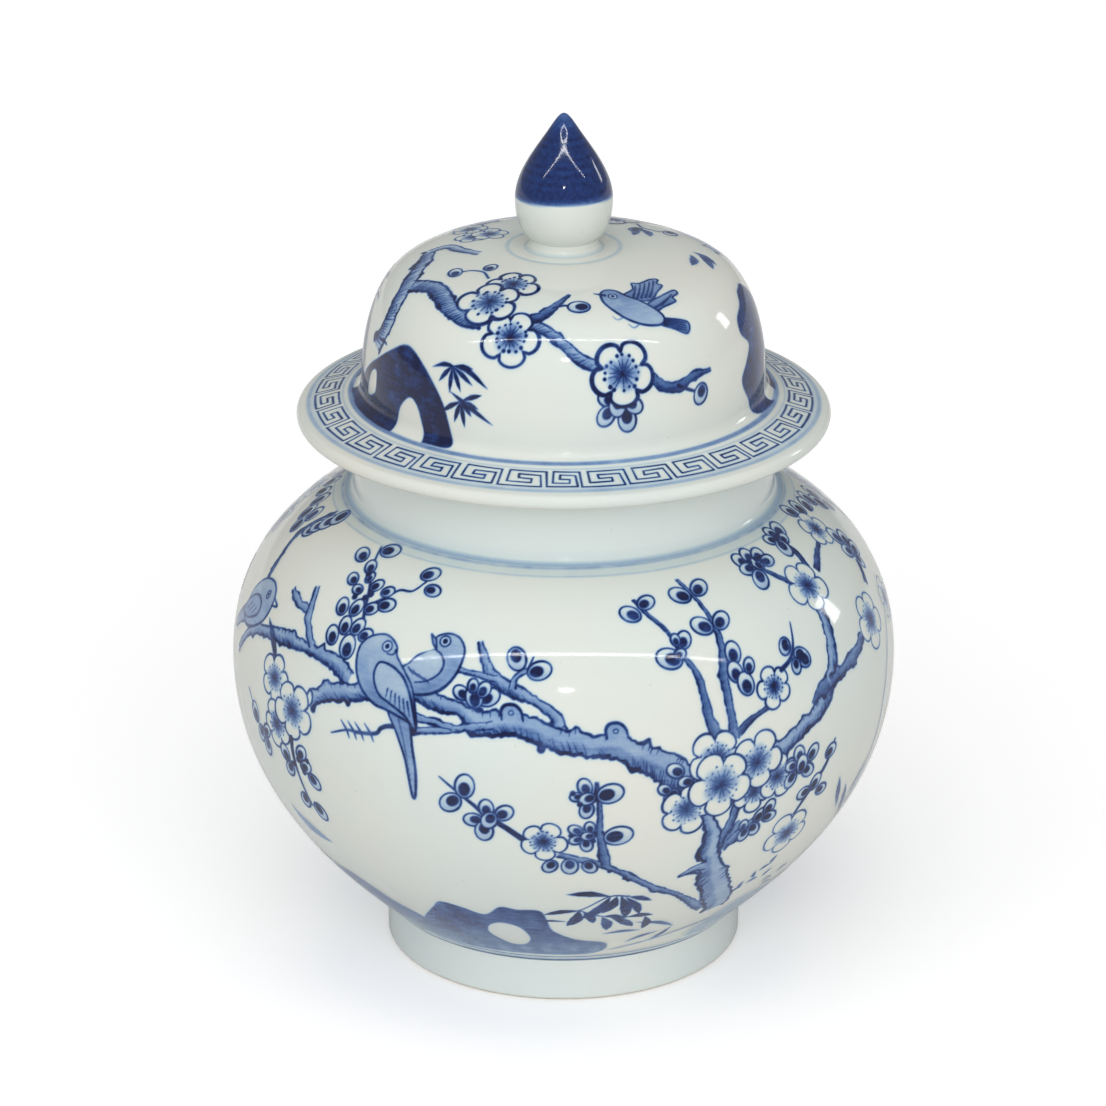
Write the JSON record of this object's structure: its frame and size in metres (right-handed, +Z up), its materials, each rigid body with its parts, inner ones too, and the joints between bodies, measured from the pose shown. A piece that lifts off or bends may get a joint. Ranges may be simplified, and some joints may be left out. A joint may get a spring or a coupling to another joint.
{
  "type": "ginger jar",
  "caption": "Round-bellied lidded porcelain jar on a foot ring, with a short upright neck and a lift-off domed lid with a wide brim and a bud finial.",
  "frame": {"origin": "centre of the foot's standing face, on the surface the jar stands on", "axes": "+Z up along the jar's axis of turning, -Y towards the front of the painted decoration"},
  "size_m": [0.25, 0.25, 0.3262],
  "materials": {
    "white_glaze": "clear gloss glaze over white porcelain, painted in cobalt blue",
    "cobalt_glaze": "gloss cobalt blue glaze fading to white at the foot"
  },
  "bodies": {
    "jar": {"foot_ring": "white_glaze", "jar_lower_body": "white_glaze", "jar_upper_body": "white_glaze", "neck": "white_glaze"},
    "lid": {"lid_shell": "white_glaze", "lid_locating_ring": "white_glaze", "finial": "cobalt_glaze"}
  },
  "joints": [
    {"name": "lid_lift", "type": "slide", "parent": "jar", "child": "lid", "axis": [0, 0, 1], "range_m": [0, 0.12]}
  ]
}
